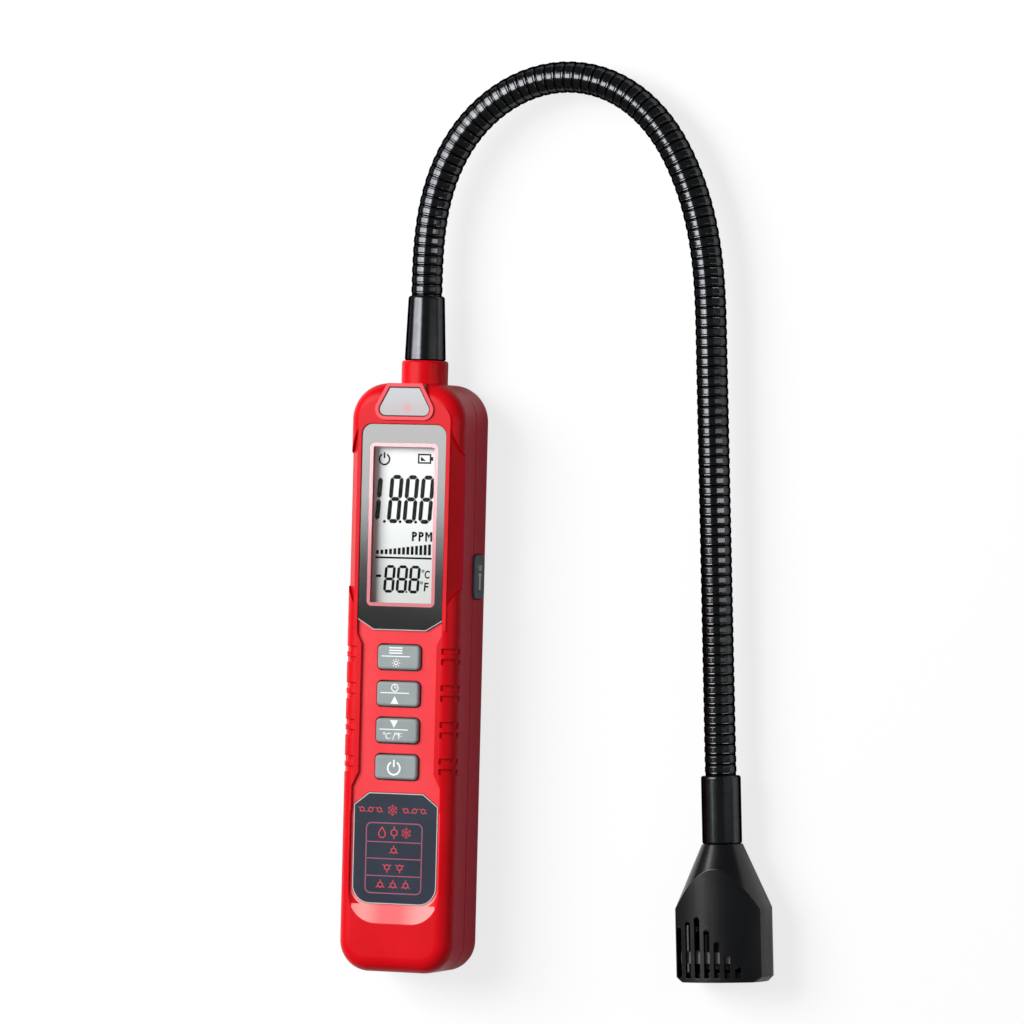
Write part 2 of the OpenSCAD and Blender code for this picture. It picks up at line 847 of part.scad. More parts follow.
probe_lo = bead_gap / 2;
head_lo = probe_lo + probe_ferrule_l;
spigot_l = 5;
spigot_r = probe_ferrule_r - 1.6;

module probe_ferrule() {
    color(black)
    on_neck(bead_n) rotate_extrude()
        difference() {
            union() {
                translate([0, probe_lo]) square([probe_ferrule_r - 0.8, probe_ferrule_l]);
                translate([0, probe_lo + 0.8]) square([probe_ferrule_r, probe_ferrule_l - 1.6]);
                for (z = [probe_lo + 0.8, head_lo - 0.8])
                    translate([probe_ferrule_r - 0.8, z]) circle(0.8);
                translate([0, head_lo - over]) square([spigot_r, spigot_l + over]);
                ball_profile(probe_lo + 0.1);
            }
            translate([0, -over - skirt]) square([lead_r, head_lo + spigot_l + skirt + 2 * over]);
        }
}

// Places what is drawn from the top of the head towards its tip
module on_head() {
    on_neck(bead_n) translate([0, 0, head_lo]) children();
}

// Outline across the head: two curved faces between round sides
module head_section(in) {
    intersection() {
        circle(head_w / 2 - in);
        translate([face_r - head_t / 2, 0]) circle(face_r - in);
        translate([head_t / 2 - face_r, 0]) circle(face_r - in);
    }
}

module head_form(in, z0, z1) {
    r0 = probe_ferrule_r + 0.2 - in * 1.1;
    r1 = head_w / 2 - in;
    intersection() {
        rotate_extrude()
            polygon([[0, z0], [r0 + (r1 - r0) * z0 / cone_l, z0], [r1, cone_l], [r1, z1 - (in > 0 ? 0 : 1.6)],
                     [r1 - (in > 0 ? 0 : 1.6), z1], [0, z1]]);
        linear_extrude(head_l + over) head_section(in);
    }
}

module slots() {
    for (i = [0:slot_n - 1])
        translate([0, (i - (slot_n - 1) / 2) * slot_pitch - 2.8, head_l - slot_tall(i)]) {
            translate([-head_t, -slot_w / 2, 0]) cube([2 * head_t, slot_w, slot_tall(i) - slot_rim]);
            rotate([0, 90, 0]) cylinder(d = slot_w, h = 2 * head_t, center = true);
        }
}

module probe_housing() {
    color(black)
    on_head()
        difference() {
            head_form(0, 0, head_l);
            head_form(head_wall, spigot_l + 2, head_l + over);
            translate([0, 0, -over]) cylinder(r = spigot_r + fit, h = spigot_l + 3.2 + over);
            slots();
        }
}

module probe_end_cap() {
    color(black)
    on_head()
        translate([0, 0, head_l - cap_t - 1]) linear_extrude(cap_t)
            difference() {
                head_section(head_wall + fit);
                for (i = [-2:2])
                    translate([0, i * slot_pitch]) rounded(2 * slot_w + 5, slot_w, slot_w / 2 - 0.01);
            }
}

module sensor_holder() {
    color(dark)
    on_head()
        translate([0, 0, head_l - ring_z - ring_t])
            difference() {
                linear_extrude(ring_t) head_section(head_wall + fit);
                translate([0, 0, -over]) cylinder(r = sensor_d / 2 - 1.4, h = ring_t + 2 * over);
                translate([0, 0, -over]) cylinder(d = sensor_d + 2 * fit, h = 1.4 + over);
            }
}

sensor_z = head_l - ring_z - ring_t + 1.4;

module sensor_base() {
    color([0.55, 0.2, 0.15])
    on_head()
        translate([0, 0, sensor_z - 7]) {
            cylinder(d = sensor_d, h = 7);
            for (a = [0:60:300])
                rotate([0, 0, a]) translate([4.5, 0, -2.6]) cylinder(r = 0.5, h = 3);
        }
}

module sensor_cap() {
    color(steel)
    on_head()
        translate([0, 0, sensor_z]) {
            cylinder(r = sensor_d / 2 - 1.6, h = 4);
            for (a = [0:30:330])
                rotate([0, 0, a]) translate([sensor_d / 2 - 3, 0, 0]) cylinder(r = 0.6, h = 4.5);
        }
}

module sensor_board() {
    color([0.05, 0.35, 0.2])
    on_head()
        translate([0, 0, sensor_z - 7 - 2.4]) linear_extrude(1.4)
            difference() {
                rounded(12, 17, 2);
                for (a = [0:60:300])
                    rotate(a) translate([4.5, 0]) circle(0.6);
            }
}

front_shell();
back_shell();
battery_cover();
casing_screws();
display_lens();
lcd_glass();
lcd_holder();
indicator_window();
alarm_lamp();
info_panel();
main_board();
key(0);  // key_select
key(1);  // key_up
key(2);  // key_down
key(3);  // key_power
key_switches();
side_button();
side_switch();
buzzer();
battery_cell(1);  // battery_cell_1
battery_cell(2);  // battery_cell_2
battery_cell(3);  // battery_cell_3
contact_springs();
contact_plates();
neck_ferrule();
neck_nut();
for (i = [1:link_n])
    neck_link(i);
probe_ferrule();
probe_housing();
probe_end_cap();
sensor_holder();
sensor_base();
sensor_cap();
sensor_board();
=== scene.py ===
"""Looks of a refrigerant leak detector: red moulded handle, ribbed black neck, slotted sensing head."""
import json
import math

import bmesh
import bpy
from mathutils import Matrix, Vector

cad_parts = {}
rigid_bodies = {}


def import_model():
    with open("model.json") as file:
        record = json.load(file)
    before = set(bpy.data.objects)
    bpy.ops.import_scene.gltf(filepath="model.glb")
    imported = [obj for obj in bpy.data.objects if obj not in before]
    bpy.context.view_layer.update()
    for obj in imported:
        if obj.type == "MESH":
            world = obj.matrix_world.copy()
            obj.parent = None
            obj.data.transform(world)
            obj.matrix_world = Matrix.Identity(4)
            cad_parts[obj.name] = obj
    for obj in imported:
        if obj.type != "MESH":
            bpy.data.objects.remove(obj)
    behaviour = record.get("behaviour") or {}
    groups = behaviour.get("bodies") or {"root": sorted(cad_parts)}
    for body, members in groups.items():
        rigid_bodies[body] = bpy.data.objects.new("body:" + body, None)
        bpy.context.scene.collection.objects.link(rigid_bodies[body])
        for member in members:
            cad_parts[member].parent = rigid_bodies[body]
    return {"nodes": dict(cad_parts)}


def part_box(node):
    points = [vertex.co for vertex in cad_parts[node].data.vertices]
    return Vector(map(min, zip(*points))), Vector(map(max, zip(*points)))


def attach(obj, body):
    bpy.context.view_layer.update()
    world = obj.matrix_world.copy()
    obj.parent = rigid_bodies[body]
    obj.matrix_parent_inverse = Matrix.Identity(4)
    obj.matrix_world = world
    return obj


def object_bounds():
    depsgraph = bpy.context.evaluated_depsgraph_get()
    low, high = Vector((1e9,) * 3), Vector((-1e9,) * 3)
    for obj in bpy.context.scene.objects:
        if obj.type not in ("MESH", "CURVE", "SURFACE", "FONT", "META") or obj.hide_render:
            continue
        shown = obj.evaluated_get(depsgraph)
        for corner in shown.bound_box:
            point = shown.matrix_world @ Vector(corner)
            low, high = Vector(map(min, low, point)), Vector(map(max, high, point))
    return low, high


for left_over in list(bpy.data.objects):
    bpy.data.objects.remove(left_over)
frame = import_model()
CAD_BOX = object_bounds()
NODES = frame["nodes"]

MM = 0.001


def box_mm(node):
    """Lowest and highest corner of a solid, in millimetres."""
    lo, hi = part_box(node)
    return lo / MM, hi / MM


def paint(red, green, blue):
    """A colour as seen on a screen, as the linear colour that a shader takes."""
    shares = (red / 255, green / 255, blue / 255)
    linear = [c / 12.92 if c < 0.0404 else ((c + 0.055) / 1.055) ** 2.4 for c in shares]
    return (*linear, 1.0)


def new_object(name, data):
    made = bpy.data.objects.new(name, data)
    bpy.context.scene.collection.objects.link(made)
    return made


def final_mesh(carrier):
    """The evaluated mesh of a helper object, which is then removed."""
    bpy.context.view_layer.update()
    made = bpy.data.meshes.new_from_object(carrier.evaluated_get(bpy.context.evaluated_depsgraph_get()))
    bpy.data.objects.remove(carrier)
    return made


class Wire:
    """A value in a node tree. Arithmetic on it adds Math nodes."""

    def __init__(self, owner, socket):
        self.owner = owner
        self.socket = socket

    def beside(self, out):
        """Another output of the same node."""
        return Wire(self.owner, self.socket.node.outputs[out])

    def math(self, operation, *values):
        return self.owner.node("ShaderNodeMath", {"operation": operation}, dict(enumerate(values)))

    def __add__(self, other):
        return self.math("ADD", self, other)

    def __radd__(self, other):
        return self.math("ADD", other, self)

    def __sub__(self, other):
        return self.math("SUBTRACT", self, other)

    def __rsub__(self, other):
        return self.math("SUBTRACT", other, self)

    def __mul__(self, other):
        return self.math("MULTIPLY", self, other)

    def __truediv__(self, other):
        return self.math("DIVIDE", self, other)

    def __lt__(self, other):
        return self.math("LESS_THAN", self, other)

    def __gt__(self, other):
        return self.math("GREATER_THAN", self, other)

    def __abs__(self):
        return self.math("ABSOLUTE", self)

    def least(self, other):
        return self.math("MINIMUM", self, other)

    def most(self, other):
        return self.math("MAXIMUM", self, other)

    def root(self):
        return self.math("SQRT", self)

    def ramp(self, low, high):
        """0 below low and 1 above high, with a soft step between them."""
        return self.owner.node(
            "ShaderNodeMapRange",
            {"interpolation_type": "SMOOTHSTEP"},
            {"Value": self, "From Min": low, "From Max": high},
        )


class Nodes:
    """What finishes and patterns share: nodes added to a tree, with Wires or plain values for inputs."""

    def node(self, kind, settings=None, inputs=None, out=0):
        made = self.tree.nodes.new(kind)
        for key, value in (settings or {}).items():
            setattr(made, key, value)
        for key, value in (inputs or {}).items():
            if isinstance(value, Wire):
                self.tree.links.new(value.socket, made.inputs[key])
            else:
                made.inputs[key].default_value = value
        return Wire(self, made.outputs[out]) if made.outputs else None


class Finish(Nodes):
    """A material and its node tree."""

    def __init__(self, name):
        self.material = bpy.data.materials.new(name)
        self.material.use_nodes = True
        self.tree = self.material.node_tree
        self.tree.nodes.clear()
        self.at = self.node("ShaderNodeTexCoord", out="Object")

    def axes(self):
        """The object's own X, Y and Z at a point, in millimetres."""
        split = self.node("ShaderNodeSeparateXYZ", inputs={0: self.at})
        return [split.beside(i) * 1000.0 for i in range(3)]

    def noise(self, size, detail):
        """Soft noise from 0 to 1 whose spots are about size millimetres."""
        return self.node(
            "ShaderNodeTexNoise", inputs={"Vector": self.at, "Scale": 1000.0 / size, "Detail": detail}
        )

    def blend(self, share, first, second):
        """A colour that goes from first to second as share goes from 0 to 1."""
        return self.node("ShaderNodeMix", {"data_type": "RGBA"}, {0: share, 6: first, 7: second}, out=2)

    def soft_edges(self, radius):
        """Normals that turn round a sharp edge, as on a moulding, with a radius in millimetres."""
        return self.node("ShaderNodeBevel", {"samples": 6}, {"Radius": radius * MM})

    def bump(self, height, strength, distance, edge=0.0):
        sizes = {"Height": height, "Strength": strength, "Distance": distance * MM}
        if edge:
            sizes["Normal"] = self.soft_edges(edge)
        return self.node("ShaderNodeBump", inputs=sizes, out="Normal")

    def surface(self, **inputs):
        """Ends the tree in one Principled shader. Socket names have underscores for spaces."""
        sockets = {name.replace("_", " "): value for name, value in inputs.items()}
        shader = self.node("ShaderNodeBsdfPrincipled", inputs=sockets)
        self.node("ShaderNodeOutputMaterial", inputs={"Surface": shader})
        return self.material


lens_lo, lens_hi = box_mm("display_lens")
panel_lo, panel_hi = box_mm("info_panel")
window_lo, window_hi = box_mm("indicator_window")

DISPLAY_X = 10.6
DISPLAY_LO = lens_lo.y + 8.7
DISPLAY_HI = lens_hi.y - 7.3
DISPLAY_R = 0.5
RING_W = 1.15
SUNK_Z = 28.5
SUNK_X = 15.6
SUNK_LO, SUNK_HI = panel_lo.y - 1, lens_lo.y + 5
SURROUND_Z = 29.8
SLOPE_LO, SLOPE_HI = panel_lo.y - 6.6, panel_lo.y - 0.2
SLOPE_X = 14.4
SLOPE_RISE = 0.96


def red_plastic():
    """Moulded red plastic, satin. The paler colours on the sunk front panel, the slope below it and the
    surround are painted reflections of the overhead light, and the right side wall has a painted tint of
    shade.
    """
    f = Finish("red moulded plastic")
    x, y, z = f.axes()
    cloud = f.noise(18, 3)
    patches = cloud.ramp(0.3, 0.7)
    red = f.blend(patches, paint(210, 11, 23), paint(219, 15, 28))
    # Painted reflection: the sunk front panel is coral, paler than the rest of the same plastic, for the
    # sheen of the overhead light on it.
    sunk = (z > SUNK_Z - 0.12) * (z < SUNK_Z + 0.1) * (abs(x) < SUNK_X) * (y < SUNK_HI) * (y > SUNK_LO)
    slope = (z > SUNK_Z) * (z < SUNK_Z + SLOPE_RISE) * (abs(x) < SLOPE_X) * (y < SLOPE_HI) * (y > SLOPE_LO)
    coral_sheen = f.blend(patches, paint(232, 58, 66), paint(238, 68, 75))
    # Painted shade: a magenta tint on the right side wall only, fading out near the front, for the tinted
    # shade on that side.
    side = x.ramp(17.2, 19.2) * (1 - z.ramp(23.5, 27.0))
    red = f.blend(side, red, paint(214, 12, 50))
    # Painted reflection: the slope below the panel and the panel's lower corners are pale pink, palest
    # towards their left and right ends, for the overhead light mirrored in them.
    pale = f.blend(abs(x + 1.0).ramp(2.0, 11.0), paint(236, 98, 102), paint(247, 152, 150))
    corner = sunk * (1 - y.ramp(panel_lo.y, panel_lo.y + 5.0))
    colour = f.blend(slope.most(corner), f.blend(sunk, red, coral_sheen), pale)
    # Painted highlight: the surround that stands above SURROUND_Z is lightened to pink, for the light caught
    # on its flat top.
    colour = f.blend((z > SURROUND_Z) * 0.8, colour, paint(240, 96, 104))
    grain = f.noise(0.22, 2)
    return f.surface(
        Base_Color=colour,
        Roughness=0.26 + grain * 0.05 + cloud * 0.04,
        Specular_IOR_Level=0.09,
        Normal=f.bump(grain, 0.05, 0.02, edge=0.4),
    )


def lens_plastic():
    """Clear lens with a black printed border and a pale red line round its window."""
    f = Finish("printed display lens")
    x, y, z = f.axes()
    half = (DISPLAY_HI - DISPLAY_LO) / 2
    across = abs(x) - (DISPLAY_X - DISPLAY_R)
    along = abs(y - (DISPLAY_LO + DISPLAY_HI) / 2) - (half - DISPLAY_R)
    outer = across.most(0.0)
    upper = along.most(0.0)
    edge = (outer * outer + upper * upper).root() + across.most(along).least(0.0) - DISPLAY_R
    border = edge.ramp(-0.03, 0.03)
    ring = border * (1 - edge.ramp(RING_W - 0.03, RING_W + 0.03))
    smear = f.noise(9, 3)
    print_colour = f.blend(ring, paint(13, 14, 16), paint(212, 122, 130))
    colour = f.blend(border, paint(60, 62, 64), print_colour)
    return f.surface(
        Base_Color=colour,
        Roughness=0.09 + smear * 0.03,
        Alpha=border * 0.975 + 0.025,
        IOR=1.6,
        Normal=f.soft_edges(0.25),
    )


def lcd_film():
    """Pale reflective film of the LCD, with painted shade that makes it greyer towards its lower end."""
    f = Finish("lcd film")
    x, y, z = f.axes()
    fibre = f.noise(0.5, 2)
    # Painted shade: near white at the upper end, greyer towards the lower end.
    pale = f.blend(y.ramp(24, 62), paint(214, 220, 217), paint(247, 250, 251))
    colour = f.blend(fibre.ramp(0.35, 0.75) * 0.12, pale, paint(226, 231, 231))
    return f.surface(Base_Color=colour, Roughness=0.45 + fibre * 0.1, Specular_IOR_Level=0.15)


def ink(name, colour, second, roughness=0.5, gloss=0.3):
    """Printed ink, a little uneven."""
    f = Finish(name)
    spots = f.noise(0.6, 2)
    return f.surface(
        Base_Color=f.blend(spots.ramp(0.3, 0.75), colour, second),
        Roughness=roughness + spots * 0.1,
        Specular_IOR_Level=gloss,
    )


def satin(name, colour, second, roughness, grain_size=0.25, strength=0.06, edge=0.0, gloss=0.5):
    """Plain moulding with a fine spark-eroded grain."""
    f = Finish(name)
    grain = f.noise(grain_size, 2)
    cloud = f.noise(9, 2)
    return f.surface(
        Base_Color=f.blend(cloud.ramp(0.3, 0.7), colour, second),
        Roughness=roughness - 0.03 + grain * 0.06 + cloud * 0.04,
        Normal=f.bump(grain, strength, 0.02, edge),
        Specular_IOR_Level=gloss,
    )


def metal(name, colour, second, roughness):
    f = Finish(name)
    brushed = f.noise(0.35, 3)
    return f.surface(
        Base_Color=f.blend(brushed, colour, second), Metallic=1.0, Roughness=roughness + brushed * 0.12
    )


GROOVE_SHADE_LINE = 0.017


def black_gloss(name, roughness, lined=False):
    """Black plated metal, dark at its edges; lined has a painted dark line round the middle of each ball, for
    the shade in the groove between beads.
    """
    f = Finish(name)
    cloud = f.noise(3, 2)
    colour = f.blend(cloud.ramp(0.3, 0.7), paint(62, 63, 65), paint(68, 69, 71))
    if lined:
        split = f.node("ShaderNodeSeparateXYZ", inputs={0: f.node("ShaderNodeUVMap", {"uv_map": "UVMap"})})
        # Painted shade: a near-black line round each ball's middle, where the beads meet.
        colour = f.blend(abs(split.beside(1) - 0.5) < GROOVE_SHADE_LINE, colour, paint(4, 4, 4))
    return f.surface(
        Base_Color=colour,
        Metallic=1.0,
        Roughness=roughness + cloud * 0.03,
        Specular_Tint=(0.03, 0.03, 0.03, 1.0),
    )


def silver_window():
    """Silver-grey window, redder over the alarm lamp."""
    f = Finish("silver indicator window")
    x, y, z = f.axes()
    lamp_y = window_lo.y + 2.6
    away = ((x - 1.0) * (x - 1.0) + (y - lamp_y) * (y - lamp_y)).root()
    cloud = f.noise(4, 2)
    silver = f.blend(y.ramp(window_lo.y, window_hi.y), paint(180, 172, 175), paint(184, 187, 190))
    colour = f.blend((1 - away.ramp(0.5, 2.6)) * 0.5, silver, paint(222, 130, 142))
    return f.surface(
        Base_Color=colour, Roughness=0.3 + cloud * 0.08, Specular_IOR_Level=0.3, Normal=f.soft_edges(0.25)
    )


def panel_sheet():
    """Dark printed sheet."""
    f = Finish("dark panel sheet")
    weave = f.noise(0.3, 2)
    cloud = f.noise(14, 2)
    colour = f.blend(cloud.ramp(0.3, 0.7), paint(37, 44, 58), paint(43, 51, 65))
    return f.surface(
        Base_Color=colour,
        Roughness=0.36 + weave * 0.08,
        Specular_IOR_Level=0.14,
        Normal=f.bump(weave, 0.04, 0.02, edge=0.2),
    )


CELL_SHOULDER_Y = -52.0


def cell_sleeve():
    """Shrink sleeve of a battery cell, with a copper-coloured shoulder."""
    f = Finish("cell sleeve")
    x, y, z = f.axes()
    cloud = f.noise(6, 2)
    colour = f.blend(y > CELL_SHOULDER_Y, paint(38, 42, 48), paint(176, 112, 66))
    return f.surface(Base_Color=f.blend(cloud * 0.15, colour, paint(90, 92, 96)), Roughness=0.3 + cloud * 0.1)


def solder_mask():
    f = Finish("circuit board")
    weave = f.noise(0.6, 2)
    green = f.blend(weave.ramp(0.4, 0.6), paint(12, 58, 40), paint(18, 70, 48))
    return f.surface(Base_Color=green, Roughness=0.35 + weave * 0.1)


FINISHES = {
    "red_shell": red_plastic(),
    "lens": lens_plastic(),
    "lcd": lcd_film(),
    "white_moulding": satin("white moulding", paint(226, 228, 228), paint(234, 236, 236), 0.5),
    "silver_window": silver_window(),
    "lamp": satin("lamp dome", paint(226, 60, 52), paint(236, 72, 60), 0.2),
    "dark_panel": panel_sheet(),
    "board": solder_mask(),
    "key_grey": satin(
        "grey key rubber", paint(134, 143, 144), paint(143, 152, 152), 0.42, 0.3, 0.08, gloss=0.35
    ),
    "button_dark": satin("dark button", paint(66, 80, 90), paint(74, 88, 98), 0.38, edge=0.2, gloss=0.35),
    "bright_steel": metal("bright steel", paint(196, 198, 200), paint(222, 224, 226), 0.22),
    "black_moulding": satin("black moulding", paint(22, 22, 24), paint(28, 28, 30), 0.45),
    "cell_wrap": cell_sleeve(),
    "gloss_black": black_gloss("gloss black ferrule", 0.17),
    "neck_black": black_gloss("gloss black neck", 0.13),
    "neck_groove": black_gloss("grooved black neck", 0.13, lined=True),
    "head_black": satin(
        "grained black head", paint(7, 8, 11), paint(10, 12, 15), 0.23, 0.35, 0.7, edge=0.3, gloss=0.42
    ),
    "sensor_brown": satin("sensor base", paint(46, 33, 30), paint(54, 38, 34), 0.5),
    "filter_metal": satin("sintered filter", paint(52, 52, 54), paint(70, 70, 72), 0.7, 0.4, 0.6, gloss=0.2),
    "holder_grey": satin("grey sensor holder", paint(126, 127, 130), paint(140, 141, 144), 0.5, gloss=0.3),
    # Near black: the filter cloth also stands in for the shade inside the head.
    "filter_cloth": satin("filter and shade cloth", paint(14, 14, 15), paint(20, 20, 22), 0.85, 0.5, 0.6, gloss=0.1),
}
LCD_INK = ink("lcd segments", paint(6, 7, 8), paint(9, 10, 11), 0.6, 0.05)
WHITE_INK = ink("white key print", paint(240, 243, 243), paint(230, 234, 234))
TITLE_INK = ink("red panel print", paint(206, 62, 78), paint(192, 54, 70))
TABLE_INK = ink("mauve panel lines", paint(158, 84, 108), paint(146, 76, 100))
# Painted shade: dark ink for the gap round the indicator window.
GAP_SHADE_INK = ink("painted gap shade line", paint(64, 38, 44), paint(54, 32, 38), 0.4)
# Painted highlight: pale ink for lines that stand in for light caught on the edges of the lens and of the
# panel.
EDGE_HIGHLIGHT_INK = ink("painted edge highlight ink", paint(196, 190, 190), paint(182, 176, 178), 0.3)

OWN_FINISH = {"sensor_cap": "filter_metal", "sensor_holder": "holder_grey"}
for name, node in NODES.items():
    slot = node.data.materials[0].name.split(".")[0]
    node.data.materials[0] = FINISHES[OWN_FINISH.get(name, slot)]


def new_piece(name, mesh, finish, body):
    """Puts a finished mesh in the scene, on the body that carries it."""
    mesh.name = name
    mesh.materials.clear()
    mesh.materials.append(finish)
    piece = new_object(name, mesh)
    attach(piece, body)


class Pattern(Nodes):
    """A Geometry Nodes tree for a shape that repeats, with its sizes as named inputs in millimetres."""

    def __init__(self, name, points=(), **sizes):
        self.tree = bpy.data.node_groups.new(name, "GeometryNodeTree")
        self.tree.interface.new_socket("Geometry", in_out="OUTPUT", socket_type="NodeSocketGeometry")
        self.tree.interface.new_socket("Geometry", in_out="INPUT", socket_type="NodeSocketGeometry")
        self.base = bpy.data.meshes.new(name)
        self.base.from_pydata([place for place, axis in points], [], [])
        if points:
            axes = self.base.attributes.new("axis", "FLOAT_VECTOR", "POINT")
            axes.data.foreach_set("vector", [c for place, axis in points for c in axis])
        self.sizes = {}
        for size, value in sizes.items():
            kind = "NodeSocketInt" if isinstance(value, int) else "NodeSocketFloat"
            socket = self.tree.interface.new_socket(size, in_out="INPUT", socket_type=kind)
            self.sizes[socket.identifier] = value
        self.given = self.tree.nodes.new("NodeGroupInput")

    def size(self, name):
        return Wire(self, self.given.outputs[name])

    def index(self):
        return self.node("GeometryNodeInputIndex")

    def vector(self, x=0.0, y=0.0, z=0.0):
        return self.node("ShaderNodeCombineXYZ", inputs={0: x, 1: y, 2: z})

    def along_axis(self):
        """Turns that bring Z to each point's own direction."""
        axis = self.node("GeometryNodeInputNamedAttribute", {"data_type": "FLOAT_VECTOR"}, {"Name": "axis"})
        return self.node("FunctionNodeAlignRotationToVector", {"axis": "Z"}, {"Vector": axis})

    def turned(self, angle):
        """A turn about Z, in radians."""
        return self.node("FunctionNodeEulerToRotation", inputs={0: self.vector(z=angle)})

    def shifted(self, shape, offset):
        return self.node("GeometryNodeTransform", inputs={"Geometry": shape, "Translation": offset})

    def block(self, x, y, z):
        return self.node("GeometryNodeMeshCube", inputs={"Size": self.vector(x, y, z)}, out="Mesh")

    def row(self, count, start, step):
        places = {"Count": count, "Start Location": start, "Offset": step}
        return self.node("GeometryNodeMeshLine", inputs=places, out="Mesh")

    def repeat(self, points, shape, **more):
        inputs = {"Points": points, "Instance": shape}
        inputs.update({name.capitalize(): value for name, value in more.items()})
        return self.node("GeometryNodeInstanceOnPoints", inputs=inputs, out="Instances")

    def mesh(self, shape, finish):
        """The finished pattern as a plain mesh in millimetres."""
        solid = self.node("GeometryNodeRealizeInstances", inputs={0: shape})
        dressed = self.node("GeometryNodeSetMaterial", inputs={"Geometry": solid, "Material": finish})
        end = self.tree.nodes.new("NodeGroupOutput")
        self.tree.links.new(dressed.socket, end.inputs[0])
        carrier = new_object(self.tree.name, self.base)
        grow = carrier.modifiers.new("pattern", "NODES")
        grow.node_group = self.tree
        for identifier, value in self.sizes.items():
            grow[identifier] = value
        return final_mesh(carrier)


# Flat shapes for prints, as closed outlines in millimetres


def bar(x0, y0, x1, y1):
    return [(x0, y0), (x1, y0), (x1, y1), (x0, y1)]


def at_angle(x, y, r, degrees):
    a = math.radians(degrees)
    return x + r * math.cos(a), y + r * math.sin(a)


def arc(cx, cy, r, a0, a1, n):
    return [at_angle(cx, cy, r, a0 + (a1 - a0) * i / n) for i in range(n + 1)]


def arc_band(cx, cy, r, width, a0, a1, n):
    return arc(cx, cy, r + width / 2, a0, a1, n) + arc(cx, cy, r - width / 2, a1, a0, n)


def ring(cx, cy, r, width, n):
    return [arc_band(cx, cy, r, width, 0, 180, n), arc_band(cx, cy, r, width, 180, 360, n)]


def disc(cx, cy, r, n):
    return arc(cx, cy, r, 0, 360 - 360 / n, n - 1)


def stroke(x0, y0, x1, y1, width):
    along = Vector((x1 - x0, y1 - y0))
    side = Vector((-along.y, along.x)).normalized() * width / 2
    corners = ((x0, y0, -1), (x1, y1, -1), (x1, y1, 1), (x0, y0, 1))
    return [(x + k * side.x, y + k * side.y) for x, y, k in corners]


def inset(outline, depth):
    """A convex outline, counter-clockwise, moved inwards by a depth."""
    moved = []
    for i, here in enumerate(outline):
        before, after = outline[i - 1], outline[(i + 1) % len(outline)]
        a = Vector((here[0] - before[0], here[1] - before[1])).normalized()
        b = Vector((after[0] - here[0], after[1] - here[1])).normalized()
        lean = Vector((-a.y - b.y, a.x + b.x)).normalized()
        reach = depth / max(0.3, lean.dot(Vector((-a.y, a.x))))
        moved.append((here[0] + lean.x * reach, here[1] + lean.y * reach))
    return moved


def line_round(outline, width):
    """A line of a given width that follows an outline on its inside, one piece for each side."""
    inner = inset(outline, width)
    count = len(outline)
    return [[outline[i], outline[(i + 1) % count], inner[(i + 1) % count], inner[i]] for i in range(count)]


def round_frame(x0, y0, x1, y1, r, width):
    corners = [(x1 - r, y1 - r, 0), (x0 + r, y1 - r, 90), (x0 + r, y0 + r, 180), (x1 - r, y0 + r, 270)]
    outline = [p for cx, cy, a in corners for p in arc(cx, cy, r, a, a + 90, 6)]
    return line_round(outline, width)


def power_sign(cx, cy, r, width):
    stem = bar(cx - width / 2, cy + r * 0.2, cx + width / 2, cy + r * 1.3)
    return [arc_band(cx, cy, r, width, 118, 422, 32), stem]


def snow_sign(cx, cy, r, width):
    """Six arms, each with two twigs."""
    lines = []
    for angle in range(30, 390, 60):
        lines.append(stroke(cx, cy, *at_angle(cx, cy, r, angle), width))
        fork = at_angle(cx, cy, r * 0.55, angle)
        for side in (-1, 1):
            lines.append(stroke(*fork, *at_angle(*fork, r * 0.36, angle + side * 52), width * 0.85))
    return lines


def drop_sign(cx, cy, r, width):
    """Outline of a drop, its point up."""
    side = arc(cx, cy - r * 0.3, r * 0.7, 150, 390, 18)
    return line_round(side + [(cx + r * 0.12, cy + r * 0.92), (cx - r * 0.12, cy + r * 0.92)], width)


def ring_sign(cx, cy, r, width, arms):
    """A six-sided ring with short arms at some of its corners."""
    corners = [at_angle(cx, cy, r, 60 * k + 30) for k in range(6)]
    lines = line_round(corners, width)
    for k in arms:
        lines.append(stroke(*corners[k], *at_angle(cx, cy, r * 1.55, 60 * k + 30), width))
    return lines


def seven_segment(x, y, w, h, t, lean, lit="abcdefg"):
    """Segments of one digit, from its lower left corner, leaning to the right."""
    g = t * 0.08
    m = h / 2
    k = t / 2
    flat = {"a": h - k, "g": m, "d": k}
    tall = {"f": (k, m, h), "e": (k, 0, m), "b": (w - k, m, h), "c": (w - k, 0, m)}
    shapes = []
    for name in lit:
        if name in flat:
            v = flat[name]
            near, far = t + g, w - t - g
            outline = [(k + g, v), (near, v - k), (far, v - k), (w - k - g, v), (far, v + k), (near, v + k)]
        else:
            u, lo, hi = tall[name]
            lo = lo + (k if lo == 0 else 0) + g
            hi = hi - (k if hi == h else 0) - g
            outline = [(u, lo), (u + k, lo + k), (u + k, hi - k), (u, hi), (u - k, hi - k), (u - k, lo + k)]
        shapes.append([(x + a + b * lean, y + b) for a, b in outline])
    return shapes


def words(text, x0, y0, x1, y1, bold=0.0, lean=0.0):
    """A short unit that fills a box, as a flat mesh."""
    curve = bpy.data.curves.new("unit", "FONT")
    curve.body = text
    curve.size = 4.0
    curve.offset = bold
    curve.shear = lean
    curve.resolution_u = 5
    mesh = final_mesh(new_object("unit", curve))
    xs = [v.co.x for v in mesh.vertices]
    ys = [v.co.y for v in mesh.vertices]
    wide, tall = (x1 - x0) / (max(xs) - min(xs)), (y1 - y0) / (max(ys) - min(ys))
    for v in mesh.vertices:
        v.co.x = x0 + (v.co.x - min(xs)) * wide
        v.co.y = y0 + (v.co.y - min(ys)) * tall
    return mesh


